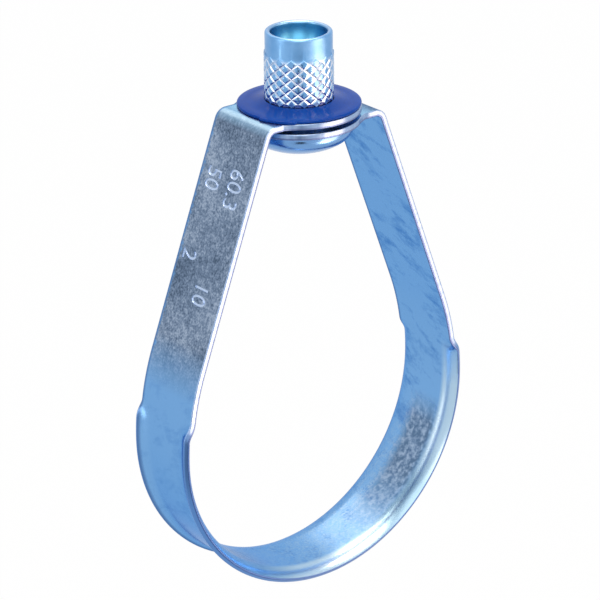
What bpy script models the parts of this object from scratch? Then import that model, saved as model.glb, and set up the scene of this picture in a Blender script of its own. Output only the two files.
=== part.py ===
# Swivel ring hanger for a 2 inch (DN 50) pipe: a pear-shaped strip band that turns on a knurled insert nut.
# Metres, +Z up. Z is the rod and swivel axis, Y runs along the pipe, and the origin is the middle of the
# nut's top face, where the threaded rod goes in.

import math

import bmesh
import bpy

# The pipe, the room round it in the ring, and the rise from its top to the lower eyelet
PIPE_DIAMETER = 0.0603
PIPE_CLEARANCE = 0.00135
EYELET_RISE = 0.02765

# Band: one strip of galvanized steel
STRIP_THICKNESS = 0.0012
STRIP_WIDTH = 0.0155
STRIP_EDGE_BREAK = 0.00018
SHOULDER_RADIUS = 0.0488
LEG_BEND_RADIUS = 0.0013

# Lips that flare away from the pipe along both edges of the round part
LIP_WIDTH = 0.00335
LIP_STRETCH = 0.00045
LIP_ANGLE = math.radians(43.0)
LIP_FADE_START = 0.0042
LIP_FADE_LENGTH = 0.0034

# Eyelets at the two ends of the strip, one above the other
EYELET_WALL = 0.00477
EYELET_GAP = 0.0008
EYELET_TONGUE = 0.0020
EYELET_NECK_RADIUS = 0.0020
EYELET_HOLE_CLEARANCE = 0.00035

# Insert nut: knurled barrel, bowl-shaped flange, M10 bore with its thread left plain
BORE_DIAMETER = 0.0085
BARREL_WALL = 0.00203
BARREL_HEIGHT = 0.01436
BARREL_RIM_RADIUS = 0.00045
COLLAR_HEIGHT = 0.0038
KNURL_RISE = 0.0002
KNURL_DEPTH = 0.0004
KNURL_CELL_WIDTH = 0.00236
KNURL_CELL_HEIGHT = 0.00191
KNURL_GROOVE_WIDTH = 0.00050
MOUTH_FLARE = 0.0010
MOUTH_DEPTH = 0.0016
FLANGE_REACH = 0.00402
FLANGE_EDGE = 0.0004
FLANGE_BOWL_DEPTH = 0.0053
FOOT_LAND = 0.00035
FOOT_CHAMFER = 0.0005

# Retaining washer: a thin dished disc pressed over the knurl, with the stub of its shear tab on the rim
WASHER_WIDTH = 0.00482
WASHER_THICKNESS = 0.0004
WASHER_DISH = 0.0009
WASHER_FLAT_WIDTH = 0.0016
WASHER_TAB_REACH = 0.0003
WASHER_TAB_START = math.radians(-166.0)
WASHER_TAB_END = math.radians(-131.0)

# Room left where one piece turns in, rests on or is pressed over another
SEAT_GAP = 0.0003

# Fineness of the round forms
RING_STEPS = 24
SHOULDER_STEPS = 16
BEND_STEPS = 6
LIP_STEPS = 4
NECK_STEPS = 3
EYELET_STEPS = 36
RIM_STEPS = 3
BOWL_STEPS = 9
WASHER_SIDES = 72
DISH_STEPS = 4

# Radii that follow from the sizes above
ring_radius = PIPE_DIAMETER / 2 + PIPE_CLEARANCE + STRIP_THICKNESS / 2
bend_radius = LEG_BEND_RADIUS + STRIP_THICKNESS / 2
bore_radius = BORE_DIAMETER / 2
barrel_radius = bore_radius + BARREL_WALL
knurl_radius = barrel_radius + KNURL_RISE
flange_radius = barrel_radius + FLANGE_REACH
foot_radius = bore_radius + FOOT_CHAMFER + FOOT_LAND
eyelet_hole_radius = knurl_radius + EYELET_HOLE_CLEARANCE
eyelet_radius = eyelet_hole_radius + EYELET_WALL
washer_hole_radius = knurl_radius + SEAT_GAP
washer_radius = washer_hole_radius + WASHER_WIDTH

# Heights, down from the nut's top face
upper_eyelet_top = -BARREL_HEIGHT
upper_eyelet_middle = upper_eyelet_top - STRIP_THICKNESS / 2
lower_eyelet_middle = upper_eyelet_middle - STRIP_THICKNESS - EYELET_GAP
lower_eyelet_underside = lower_eyelet_middle - STRIP_THICKNESS / 2
pipe_axis_z = lower_eyelet_underside - EYELET_RISE - PIPE_DIAMETER / 2
flange_top = lower_eyelet_underside - SEAT_GAP
knurl_top = -COLLAR_HEIGHT
knurl_bottom = upper_eyelet_top


def clear_scene():
    for thing in list(bpy.data.objects):
        bpy.data.objects.remove(thing, do_unlink=True)


def make_material(name, colour, metallic, roughness):
    material = bpy.data.materials.new(name)
    material.use_nodes = True
    shader = material.node_tree.nodes["Principled BSDF"]
    shader.inputs["Base Color"].default_value = (*colour, 1.0)
    shader.inputs["Metallic"].default_value = metallic
    shader.inputs["Roughness"].default_value = roughness
    return material


def galvanized_steel():
    return make_material("galvanized_steel", (0.42, 0.52, 0.66), 1.0, 0.38)


def zinc_plated_steel():
    return make_material("zinc_plated_steel", (0.55, 0.68, 0.84), 1.0, 0.22)


def blue_coated_steel():
    return make_material("blue_coated_steel", (0.03, 0.09, 0.40), 0.3, 0.12)


def finish_piece(bm, name, material, sharp_angle):
    bmesh.ops.recalc_face_normals(bm, faces=bm.faces)
    mesh = bpy.data.meshes.new(name)
    bm.to_mesh(mesh)
    bm.free()
    mesh.shade_smooth()
    mesh.set_sharp_from_angle(angle=sharp_angle)
    mesh.materials.append(material)
    piece = bpy.data.objects.new(name, mesh)
    bpy.context.collection.objects.link(piece)
    return piece


def neck_reach():
    # Distance from the rod axis to where the eyelet's neck fillet meets the strip's edge.
    to_fillet = eyelet_radius + EYELET_NECK_RADIUS
    aside = STRIP_WIDTH / 2 + EYELET_NECK_RADIUS
    return math.sqrt(to_fillet ** 2 - aside ** 2)


def leg_lean():
    # Lean of both legs from the vertical. A leg starts where the shoulder arc ends and leads into the bend
    # that lays the upper eyelet flat, a tongue's length outside the eyelet's neck.
    across = ring_radius - SHOULDER_RADIUS - neck_reach() - EYELET_TONGUE
    up = upper_eyelet_middle - pipe_axis_z - bend_radius
    return math.atan2(across, up) + math.asin((SHOULDER_RADIUS - bend_radius) / math.hypot(across, up))


def strip_runs(eyelet_middle):
    # The runs from the ring's lowest point to an eyelet's neck, each as (length, turn, steps).
    lean = leg_lean()
    bend_turn = math.pi / 2 - lean
    shoulder_rise = SHOULDER_RADIUS * math.sin(lean)
    bend_rise = bend_radius * (1 - math.sin(lean))
    leg_length = (eyelet_middle - pipe_axis_z - shoulder_rise - bend_rise) / math.cos(lean)
    bend_end_x = (ring_radius - SHOULDER_RADIUS * (1 - math.cos(lean))
                  - leg_length * math.sin(lean) - bend_radius * math.cos(lean))
    return [
        (ring_radius * math.pi / 2, math.pi / 2, RING_STEPS),
        (SHOULDER_RADIUS * lean, lean, SHOULDER_STEPS),
        (leg_length, 0.0, 1),
        (bend_radius * bend_turn, bend_turn, BEND_STEPS),
        (bend_end_x - neck_reach(), 0.0, 1),
    ]


def strip_stations(eyelet_middle):
    # Places along the strip's middle as (x, z, heading), from next to the lowest point up to the eyelet's neck.
    x, z, heading = 0.0, pipe_axis_z - ring_radius, 0.0
    stations = []
    for length, turn, steps in strip_runs(eyelet_middle):
        step_turn = turn / steps
        chord = length / steps
        if turn:
            chord = 2 * (length / turn) * math.sin(step_turn / 2)
        for _ in range(steps):
            x += chord * math.cos(heading + step_turn / 2)
            z += chord * math.sin(heading + step_turn / 2)
            heading += step_turn
            stations.append((x, z, heading))
    return stations


def lip_strength(z):
    # Full lips round the lower half of the ring, none above the fade, and a smooth run-out between.
    above_fade_start = z - pipe_axis_z - LIP_FADE_START
    left = min(1.0, max(0.0, 1 - above_fade_start / LIP_FADE_LENGTH))
    return left * left * (3 - 2 * left)


def strip_columns():
    # Places across the strip as (side, share of the flat's half width, share of the lip).
    right = [(1, 0.5, 0.0), (1, 1.0, 0.0)]
    right += [(1, 1.0, (step + 1) / LIP_STEPS) for step in range(LIP_STEPS)]
    left = [(-side, flat, lip) for side, flat, lip in reversed(right)]
    return left + [(0, 0.0, 0.0)] + right


def across_strip(column, strength):
    # Place across (y) and rise away from the pipe of one column, where the lips have this strength.
    side, flat_share, lip_share = column
    flat = (STRIP_WIDTH / 2 - LIP_WIDTH) * flat_share
    lip_length = LIP_WIDTH + LIP_STRETCH * strength
    turn = LIP_ANGLE * strength
    if not turn:
        return side * (flat + lip_length * lip_share), 0.0
    radius = lip_length / turn
    y = side * (flat + radius * math.sin(turn * lip_share))
    return y, radius * (1 - math.cos(turn * lip_share))


def strip_row(bm, side, x, z, heading):
    # One row of vertices across the strip; side -1 mirrors it to the left leg.
    row = []
    for column in strip_columns():
        y, rise = across_strip(column, lip_strength(z))
        out_x = x + rise * math.sin(heading)
        out_z = z - rise * math.cos(heading)
        row.append(bm.verts.new((side * out_x, y, out_z)))
    return row


def eyelet_outline():
    # Outline points (along the strip, across it) from one edge of the neck round the eyelet to the other.
    reach = neck_reach()
    aside = STRIP_WIDTH / 2 + EYELET_NECK_RADIUS
    tangent = math.atan2(aside, reach)
    fillet = []
    for step in range(1, NECK_STEPS + 1):
        turn = -math.pi / 2 - (math.pi / 2 - tangent) * step / NECK_STEPS
        along = reach + EYELET_NECK_RADIUS * math.cos(turn)
        fillet.append((along, aside + EYELET_NECK_RADIUS * math.sin(turn)))
    round_part = []
    for step in range(1, EYELET_STEPS):
        angle = tangent + 2 * (math.pi - tangent) * step / EYELET_STEPS
        round_part.append((eyelet_radius * math.cos(angle), eyelet_radius * math.sin(angle)))
    mirrored_fillet = [(along, -across) for along, across in reversed(fillet)]
    return fillet + round_part + mirrored_fillet


def add_eyelet(bm, side, middle, neck_row):
    # A flat ring whose outline starts and ends on the strip's last row.
    outline = list(neck_row)
    outline += [bm.verts.new((side * along, across, middle)) for along, across in eyelet_outline()]
    hole = []
    for vertex in outline:
        angle = math.atan2(vertex.co.y, vertex.co.x)
        x = eyelet_hole_radius * math.cos(angle)
        hole.append(bm.verts.new((x, eyelet_hole_radius * math.sin(angle), middle)))
    for i in range(len(outline)):
        after = (i + 1) % len(outline)
        bm.faces.new((outline[i], outline[after], hole[after], hole[i]))


def add_band():
    # The strip as a sheet: two halves from the ring's lowest row up to their eyelets, then given its thickness.
    bm = bmesh.new()
    halves = []
    for side, middle in ((-1, upper_eyelet_middle), (1, lower_eyelet_middle)):
        rows = [strip_row(bm, side, *station) for station in strip_stations(middle)]
        add_eyelet(bm, side, middle, rows[-1])
        halves.append(rows)
    lowest_row = strip_row(bm, 1, 0.0, pipe_axis_z - ring_radius, 0.0)
    rows = halves[0][::-1] + [lowest_row] + halves[1]
    for row, after in zip(rows, rows[1:]):
        for i in range(len(row) - 1):
            bm.faces.new((row[i], row[i + 1], after[i + 1], after[i]))
    band = finish_piece(bm, "band", galvanized_steel(), math.radians(40))
    sheet = band.modifiers.new("strip_thickness", "SOLIDIFY")
    sheet.thickness = STRIP_THICKNESS
    sheet.offset = 0.0
    sheet.use_even_offset = True
    edges = band.modifiers.new("broken_edges", "BEVEL")
    edges.width = STRIP_EDGE_BREAK
    edges.segments = 1
    edges.limit_method = "ANGLE"
    edges.angle_limit = math.radians(60)


def turned_ring(bm, radius, z, count):
    ring = []
    for i in range(count):
        angle = 2 * math.pi * i / count
        ring.append(bm.verts.new((radius * math.cos(angle), radius * math.sin(angle), z)))
    return ring


def join_rings(bm, ring, after_ring):
    count = len(ring)
    for i in range(count):
        after = (i + 1) % count
        bm.faces.new((ring[i], ring[after], after_ring[after], after_ring[i]))


def nut_profile():
    # Turned outline of the nut as (radius, z): from the knurl's top edge over the rim, down the bore,
    # and back up the bowl, flange and shank to the knurl's bottom edge.
    profile = [(barrel_radius, knurl_top)]
    for step in range(RIM_STEPS + 1):
        turn = math.pi / 2 * step / RIM_STEPS
        radius = barrel_radius - BARREL_RIM_RADIUS * (1 - math.cos(turn))
        profile.append((radius, -BARREL_RIM_RADIUS * (1 - math.sin(turn))))
    bowl_top = flange_top - FLANGE_EDGE
    foot_turn = math.acos(foot_radius / flange_radius)
    foot = bowl_top - FLANGE_BOWL_DEPTH * math.sin(foot_turn)
    profile += [
        (bore_radius + MOUTH_FLARE, 0.0),
        (bore_radius, -MOUTH_DEPTH),
        (bore_radius, foot + FOOT_CHAMFER),
        (bore_radius + FOOT_CHAMFER, foot),
    ]
    for step in range(BOWL_STEPS + 1):
        turn = foot_turn * (1 - step / BOWL_STEPS)
        profile.append((flange_radius * math.cos(turn), bowl_top - FLANGE_BOWL_DEPTH * math.sin(turn)))
    profile += [(flange_radius, flange_top), (barrel_radius, flange_top), (barrel_radius, knurl_bottom)]
    return profile


def knurl_grid(bm, top_ring, bottom_ring, rows):
    # Where the knurl's grooves cross: every second place of each row, the rows staggered, between two full rings.
    count = len(top_ring)
    root_radius = knurl_radius - KNURL_DEPTH
    grid = [top_ring]
    for row in range(1, rows):
        z = knurl_top + (knurl_bottom - knurl_top) * row / rows
        crossings = {}
        for i in range((row + 1) % 2, count, 2):
            angle = 2 * math.pi * i / count
            crossings[i] = bm.verts.new((root_radius * math.cos(angle), root_radius * math.sin(angle), z))
        grid.append(crossings)
    grid.append(bottom_ring)
    return grid


def add_knurl(bm, top_ring, bottom_ring):
    # Diamond knurl between two rings: each diamond is a low block between crossing grooves, and the grooves
    # run out to the plain barrel at both ends.
    count = len(top_ring)
    rows = max(2, round((knurl_top - knurl_bottom) / (KNURL_CELL_HEIGHT / 2)))
    grid = knurl_grid(bm, top_ring, bottom_ring, rows)
    diamonds = []
    for row in range(rows + 1):
        for i in range(row % 2, count, 2):
            left = grid[row][(i - 1) % count]
            right = grid[row][(i + 1) % count]
            lower = grid[min(row + 1, rows)][i]
            upper = grid[max(row - 1, 0)][i]
            face = bm.faces.new((left, lower, right, upper))
            if 0 < row < rows:
                diamonds.append(face)
    bm.normal_update()
    bmesh.ops.inset_individual(bm, faces=diamonds, thickness=KNURL_GROOVE_WIDTH / 2, depth=KNURL_DEPTH,
                               use_even_offset=True)
    bmesh.ops.poke(bm, faces=diamonds)
    round_off_diamonds(bm)


def round_off_diamonds(bm):
    # Brings the tops of the diamonds to the knurl's own round surface.
    for vertex in bm.verts:
        radius = math.hypot(vertex.co.x, vertex.co.y)
        between = knurl_bottom < vertex.co.z < knurl_top
        if between and radius > knurl_radius - KNURL_DEPTH / 2:
            vertex.co.x *= knurl_radius / radius
            vertex.co.y *= knurl_radius / radius


def add_insert_nut():
    bm = bmesh.new()
    cells = max(6, round(2 * math.pi * knurl_radius / KNURL_CELL_WIDTH))
    rings = [turned_ring(bm, radius, z, 2 * cells) for radius, z in nut_profile()]
    for ring, after_ring in zip(rings, rings[1:]):
        join_rings(bm, ring, after_ring)
    add_knurl(bm, rings[0], rings[-1])
    finish_piece(bm, "insert_nut", zinc_plated_steel(), math.radians(32))


def washer_underside():
    # Half section of the washer's underside as (radius, height above the seat), from the hole to the rim.
    flat_start = washer_radius - WASHER_FLAT_WIDTH
    underside = []
    for step in range(DISH_STEPS + 1):
        share = step / DISH_STEPS
        radius = washer_hole_radius + (flat_start - washer_hole_radius) * share
        underside.append((radius, WASHER_DISH * (1 - math.sin(math.pi / 2 * share))))
    underside.append((washer_radius, 0.0))
    return underside


def add_retaining_washer():
    bm = bmesh.new()
    seat = upper_eyelet_top + SEAT_GAP
    underside = washer_underside()
    section = [(radius, seat + rise) for radius, rise in underside]
    section += [(radius, z + WASHER_THICKNESS) for radius, z in reversed(section)]
    rings = [turned_ring(bm, radius, z, WASHER_SIDES) for radius, z in section]
    for i, ring in enumerate(rings):
        join_rings(bm, ring, rings[(i + 1) % len(rings)])
    for rim in (rings[len(underside) - 1], rings[len(underside)]):
        for vertex in rim:
            if WASHER_TAB_START <= math.atan2(vertex.co.y, vertex.co.x) <= WASHER_TAB_END:
                vertex.co.x *= 1 + WASHER_TAB_REACH / washer_radius
                vertex.co.y *= 1 + WASHER_TAB_REACH / washer_radius
    finish_piece(bm, "retaining_washer", blue_coated_steel(), math.radians(30))


def main():
    clear_scene()
    add_band()
    add_insert_nut()
    add_retaining_washer()


main()
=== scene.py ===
# Looks of a swivel ring hanger: strip-steel band, knurled insert nut and blue retaining washer.
import math

import bmesh
import bpy
from mathutils import Matrix, Vector


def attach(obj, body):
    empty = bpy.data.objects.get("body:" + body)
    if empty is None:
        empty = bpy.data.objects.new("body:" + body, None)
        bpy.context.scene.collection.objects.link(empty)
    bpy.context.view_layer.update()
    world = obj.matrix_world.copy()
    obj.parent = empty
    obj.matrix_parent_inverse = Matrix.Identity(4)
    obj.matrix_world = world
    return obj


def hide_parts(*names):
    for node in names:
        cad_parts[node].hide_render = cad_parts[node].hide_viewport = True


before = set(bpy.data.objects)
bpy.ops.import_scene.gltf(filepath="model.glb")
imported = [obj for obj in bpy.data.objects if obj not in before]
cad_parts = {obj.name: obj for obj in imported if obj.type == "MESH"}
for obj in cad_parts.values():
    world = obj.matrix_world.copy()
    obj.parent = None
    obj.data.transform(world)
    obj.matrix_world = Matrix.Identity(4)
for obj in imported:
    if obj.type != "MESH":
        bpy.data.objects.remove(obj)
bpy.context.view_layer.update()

pipeAxis = -0.07536  # height of the ring's middle below the nut's top face
near = 0.00001  # points closer than this count as being in one place
weld = 0.000002  # how close two fine points are before they are merged


# small tools for modelling and shading

def linearColour(hexText):
    # an sRGB hex colour as the linear RGBA that shader sockets take
    channels = [int(hexText[i:i + 2], 16) / 255 for i in (1, 3, 5)]
    return tuple(c / 12.92 if c <= 0.04045 else ((c + 0.055) / 1.055) ** 2.4 for c in channels) + (1.0,)


def addNode(tree, kind, inputs=None, ramp=None, **settings):
    # one node with its settings, socket values, links and colour stops
    node = tree.nodes.new(kind)
    for name, value in settings.items():
        setattr(node, name, value)
    for socket, value in (inputs or {}).items():
        if isinstance(value, bpy.types.NodeSocket):
            tree.links.new(value, node.inputs[socket])
        else:
            node.inputs[socket].default_value = value
    if ramp:
        stops = node.color_ramp.elements
        while len(stops) < len(ramp):
            stops.new(0.5)
        for stop, (place, colour) in zip(stops, ramp):
            stop.position = place
            stop.color = linearColour(colour)
    return node


def newMaterial(name):
    # an empty node material and its output
    material = bpy.data.materials.new(name)
    material.use_nodes = True
    tree = material.node_tree
    tree.nodes.clear()
    return material, tree, tree.nodes.new("ShaderNodeOutputMaterial")


def deselectAll():
    bpy.ops.object.select_all(action="DESELECT")


def selectOnly(piece):
    deselectAll()
    piece.select_set(True)
    bpy.context.view_layer.objects.active = piece


def openPiece(piece):
    selectOnly(piece)
    bpy.ops.object.mode_set(mode="EDIT")


def closePiece():
    bpy.ops.object.mode_set(mode="OBJECT")


def pick(piece, test, kind="VERT", border=True):
    # selects the vertices or edges whose points all pass the test, without open edges if border is off
    mesh = bmesh.from_edit_mesh(piece.data)
    bpy.ops.mesh.select_mode(type=kind)
    bpy.ops.mesh.select_all(action="DESELECT")
    groups = {"VERT": mesh.verts, "EDGE": mesh.edges}
    for element in groups[kind]:
        points = [element.co] if kind == "VERT" else [vertex.co for vertex in element.verts]
        if all(test(point) for point in points) and (border or not element.is_boundary):
            element.select = True
    mesh.select_flush_mode()
    bmesh.update_edit_mesh(piece.data)


def applyModifier(piece, kind, **settings):
    selectOnly(piece)
    modifier = piece.modifiers.new(kind.lower(), kind)
    for name, value in settings.items():
        setattr(modifier, name, value)
    bpy.ops.object.modifier_apply(modifier=modifier.name)


def smoothPiece(piece, degrees):
    selectOnly(piece)
    bpy.ops.object.shade_smooth_by_angle(angle=math.radians(degrees))


def applyPlace(piece):
    selectOnly(piece)
    bpy.ops.object.transform_apply(location=True, rotation=True, scale=True)


def joinPieces(pieces):
    # joins the pieces into the first one
    selectOnly(pieces[0])
    for piece in pieces[1:]:
        piece.select_set(True)
    bpy.ops.object.join()
    return pieces[0]


def faceOutwards(piece):
    # merges doubles and turns every face outwards
    openPiece(piece)
    bpy.ops.mesh.select_all(action="SELECT")
    bpy.ops.mesh.remove_doubles(threshold=near)
    bpy.ops.mesh.normals_make_consistent(inside=False)
    closePiece()


def arcPoints(centre, reach, start, end, steps):
    # points (radius, height) of an arc from start to end degrees, round or with two reaches elliptic
    turns = [math.radians(start + (end - start) * step / steps) for step in range(steps + 1)]
    return [(centre[0] + reach[0] * math.cos(turn), centre[1] + reach[1] * math.sin(turn)) for turn in turns]


def turnPiece(name, profile, sides, startAngle=0.0):
    # turned as on a lathe: one circle drawn out ring by ring along the profile of (radius, height)
    deselectAll()
    radius, height = profile[0]
    bpy.ops.mesh.primitive_circle_add(vertices=sides, radius=radius, location=(0, 0, height),
                                      rotation=(0, 0, startAngle))
    piece = bpy.context.object
    piece.name = name
    applyPlace(piece)
    openPiece(piece)
    bpy.ops.mesh.select_all(action="SELECT")
    for nextRadius, nextHeight in profile[1:]:
        bpy.ops.mesh.extrude_edges_move(TRANSFORM_OT_translate={"value": (0, 0, nextHeight - height)})
        share = nextRadius / radius
        bpy.ops.transform.resize(value=(share, share, 1), center_override=(0, 0, nextHeight))
        radius, height = nextRadius, nextHeight
    closePiece()
    return piece


# band: one formed strip of galvanized steel

bandForm = {
    "halfWidth": 0.00775, "thickness": 0.0012,
    "lipFold": 0.0044, "flatColumns": 3,  # half width of the flat between the lips, and its columns
    "lipStretch": 0.00045, "lipAngle": 43.0, "lipSteps": 5,
    "lipEnd": 0.0042, "lipFade": 0.0034,  # above the ring's middle, where the lips run out
    "ringRadius": 0.0321, "shoulderRadius": 0.0488, "bendRadius": 0.0019, "lean": 20.52,
    "upperLeg": 0.044909, "lowerLeg": 0.042774,
    "upperMiddle": -0.01496,  # height of the upper eyelet's middle
    "neck": 0.00948, "upperTongue": 0.0020, "lowerTongue": 0.00275,
    "tongueSteps": 2, "bendSteps": 14, "legSteps": 40, "shoulderSteps": 34, "ringSteps": 60,
    "eyeletRadius": 0.0116, "holeRadius": 0.00683, "eyeletSides": 72,
    "eyeletGap": 50.0,  # half the opening towards the strip in degrees, a whole number of sides
    "pathMargin": 0.014,  # path drawn on past each eyelet's centre
    "pathStep": 0.0001,
    "edgeBreak": 0.0002, "breakSteps": 3, "breakAngle": 60.0, "edgeCuts": 2,
    "smoothAngle": 40.0, "normalWeight": 60,
}
insideSlot, outsideSlot, cutSlot, tornShadeSlot = range(4)  # order of the band's finishes


def bandRuns():
    # the strip from the upper neck to the lower one, as (length, turn in degrees, steps)
    form = bandForm
    lean = form["lean"]
    ring = (math.pi / 2 * form["ringRadius"], 90, form["ringSteps"])
    shoulder = (form["shoulderRadius"] * math.radians(lean), lean, form["shoulderSteps"])
    bend = (form["bendRadius"] * math.radians(90 - lean), 90 - lean, form["bendSteps"])
    upper = [(form["upperTongue"], 0, form["tongueSteps"]), bend, (form["upperLeg"], 0, form["legSteps"])]
    lower = [(form["lowerLeg"], 0, form["legSteps"]), bend, (form["lowerTongue"], 0, form["tongueSteps"])]
    return upper + [shoulder, ring, ring, shoulder] + lower


def drawPath():
    # the pear as a flat curve along the middle of the strip's thickness, seen along the pipe
    form = bandForm
    lead = form["neck"] + form["pathMargin"]
    runs = [(lead, 0, 1)] + bandRuns() + [(lead, 0, 1)]
    place = Vector((form["pathMargin"], form["upperMiddle"] - pipeAxis))
    heading = math.pi
    points = [place.copy()]
    for length, turn, _ in runs:
        steps = math.ceil(length / form["pathStep"])
        stepTurn = math.radians(turn) / steps
        chord = length / steps
        if turn:
            chord *= math.sin(stepTurn / 2) / (stepTurn / 2)
        for _ in range(steps):
            place += chord * Vector((math.cos(heading + stepTurn / 2), math.sin(heading + stepTurn / 2)))
            heading += stepTurn
            points.append(place.copy())
    drawing = bpy.data.curves.new("pearPath", "CURVE")
    drawing.dimensions = "2D"
    spline = drawing.splines.new("POLY")
    spline.points.add(len(points) - 1)
    spline.points.foreach_set("co", [v for point in points for v in (point.x, point.y, 0.0, 1.0)])
    path = bpy.data.objects.new("pearPath", drawing)
    bpy.context.collection.objects.link(path)
    return path


def lipShare(distance):
    # share of the full lip at a distance along the strip from its lowest point
    form = bandForm
    rise = distance - math.pi / 2 * form["ringRadius"] - form["lipEnd"]
    left = min(1.0, max(0.0, 1 - rise / form["lipFade"]))
    return left * left * (3 - 2 * left)


def curlLips(blank, rows, share):
    # folds both lips of these rows, a little more at each column, to this share of the full lip
    form = bandForm
    width = form["halfWidth"] - form["lipFold"]
    stretch = 1 + form["lipStretch"] * share / width
    stepWidth = width * stretch / form["lipSteps"]
    stepTurn = math.radians(form["lipAngle"]) * share / form["lipSteps"]

    def inRows(point):
        return any(abs(point.x - row) < near for row in rows)

    for side in (1, -1):
        pick(blank, lambda p: side * p.z > form["lipFold"] + near and inRows(p))
        bpy.ops.transform.resize(value=(1, 1, stretch), center_override=(0, 0, side * form["lipFold"]))
        foldY, foldZ, turned = 0.0, form["lipFold"], 0.0
        for step in range(form["lipSteps"]):
            turn = stepTurn / 2 if step == 0 else stepTurn
            pick(blank, lambda p: side * p.z > foldZ + near and inRows(p))
            bpy.ops.transform.rotate(value=-side * turn, orient_axis="X",
                                     center_override=(0, foldY, side * foldZ))
            turned += turn
            foldY -= stepWidth * math.sin(turned)
            foldZ += stepWidth * math.cos(turned)


def addEyelet(blank, centre, rowPlace):
    # rounds one end of the blank off into an eyelet with its hole; rowPlace is the strip's end row
    form = bandForm
    outward = 1 if centre > rowPlace else -1
    gap = math.radians(form["eyeletGap"])
    gapStart = form["eyeletRadius"] * math.cos(gap - math.pi / form["eyeletSides"])
    arcEnd = centre - outward * form["eyeletRadius"] * math.cos(gap)
    bpy.ops.mesh.select_all(action="DESELECT")
    bpy.ops.mesh.primitive_circle_add(vertices=form["eyeletSides"], radius=form["eyeletRadius"],
                                      location=(centre, 0, 0), rotation=(math.pi / 2, 0, 0))
    pick(blank, lambda p: outward * (centre - p.x) > gapStart and outward * (p.x - rowPlace) > near)
    bpy.ops.mesh.delete(type="VERT")
    for side in (1, -1):
        pick(blank, lambda p: (abs(p.x - rowPlace) < near and side * p.z > form["halfWidth"] - near)
             or (abs(p.x - arcEnd) < near and side * p.z > 0))
        bpy.ops.mesh.edge_face_add()
    bpy.ops.mesh.select_all(action="DESELECT")
    bpy.ops.mesh.primitive_circle_add(vertices=form["eyeletSides"], radius=form["holeRadius"],
                                      location=(centre, 0, 0), rotation=(math.pi / 2, 0, 0))
    pick(blank, lambda p: outward * (p.x - rowPlace) > -near, "EDGE")
    bpy.ops.mesh.bridge_edge_loops()


def cutBlank():
    # the strip laid out flat along X, row by row, with its lips folded and both eyelets added
    form = bandForm
    start = form["pathMargin"] + form["neck"]
    steps = [length / count for length, _, count in bandRuns() for _ in range(count)]
    flatColumns = form["flatColumns"]
    halfColumns = flatColumns + form["lipSteps"]
    deselectAll()
    bpy.ops.mesh.primitive_grid_add(x_subdivisions=1, y_subdivisions=2 * halfColumns, size=1,
                                    rotation=(math.pi / 2, 0, 0), location=(start + steps[0] / 2, 0, 0))
    blank = bpy.context.object
    blank.name = "band_strip"
    blank.scale = (steps[0], 2 * form["halfWidth"], 1)
    applyPlace(blank)
    openPiece(blank)
    even = form["halfWidth"] / halfColumns
    flatStep = form["lipFold"] / flatColumns
    lipStep = (form["halfWidth"] - form["lipFold"]) / form["lipSteps"]
    for i in range(1, halfColumns):  # columns go to the lips' fold lines
        wanted = flatStep * i if i < flatColumns else form["lipFold"] + lipStep * (i - flatColumns)
        for side in (1, -1):
            pick(blank, lambda p: abs(p.z - side * even * i) < near)
            bpy.ops.transform.translate(value=(0, 0, side * (wanted - even * i)))
    place = start + steps[0]
    rows = [start, place]
    pick(blank, lambda p: abs(p.x - place) < near)
    for step in steps[1:]:
        bpy.ops.mesh.extrude_edges_move(TRANSFORM_OT_translate={"value": (step, 0, 0)})
        place += step
        rows.append(place)
    firstHalf = bandRuns()[:len(bandRuns()) // 2]
    lowest = start + sum(length for length, _, _ in firstHalf)
    shares = {}
    for row in rows:
        share = lipShare(abs(row - lowest))
        if share > 0:
            shares.setdefault(round(share, 4), []).append(row)
    for share, places in shares.items():
        curlLips(blank, places, share)
    addEyelet(blank, form["pathMargin"], start)
    addEyelet(blank, place + form["neck"], place)
    bpy.ops.mesh.select_all(action="SELECT")
    bpy.ops.mesh.delete_loose(use_faces=False)
    bpy.ops.mesh.select_all(action="SELECT")
    bpy.ops.mesh.remove_doubles(threshold=weld)
    bpy.ops.mesh.normals_make_consistent(inside=False)
    closePiece()
    return blank


def markBeside(border):
    # gives the torn finish, darkened as painted shade, to the cut-edge faces beside these faces, and returns
    # them
    beside = {face for old in border for edge in old.edges for face in edge.link_faces
              if face.material_index == cutSlot}
    for face in beside:
        face.material_index = tornShadeSlot
    return beside


def splitCutEdge(band):
    # the cut edges in thirds: the one by the strip's inner side is the torn zone of the shear's cut, darkened
    # as painted shade along the inner corner
    openPiece(band)
    bpy.ops.mesh.select_mode(type="EDGE")
    bpy.ops.mesh.select_all(action="DESELECT")
    mesh = bmesh.from_edit_mesh(band.data)
    for edge in mesh.edges:
        edge.select = all(face.material_index == cutSlot for face in edge.link_faces)
    bmesh.update_edit_mesh(band.data)
    bpy.ops.mesh.subdivide(number_cuts=bandForm["edgeCuts"])
    mesh = bmesh.from_edit_mesh(band.data)
    markBeside({face for face in mesh.faces if face.material_index == insideSlot})
    bmesh.update_edit_mesh(band.data)
    closePiece()


def markTornShadeCorner(band):
    # the broken corners on the strip's inner side belong to the torn zone too, with its painted shade
    openPiece(band)
    mesh = bmesh.from_edit_mesh(band.data)
    border = {face for face in mesh.faces if face.material_index == insideSlot}
    for _ in range(bandForm["breakSteps"]):
        border = markBeside(border)
    bmesh.update_edit_mesh(band.data)
    closePiece()


def layAlongPear(piece):
    # bends a flat piece along the pear and stands it upright round the pipe's axis
    path = drawPath()
    applyModifier(piece, "CURVE", object=path, deform_axis="POS_X")
    bpy.data.objects.remove(path)
    piece.rotation_euler = (math.pi / 2, 0, 0)
    piece.location = (0, 0, pipeAxis)
    applyPlace(piece)


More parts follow.
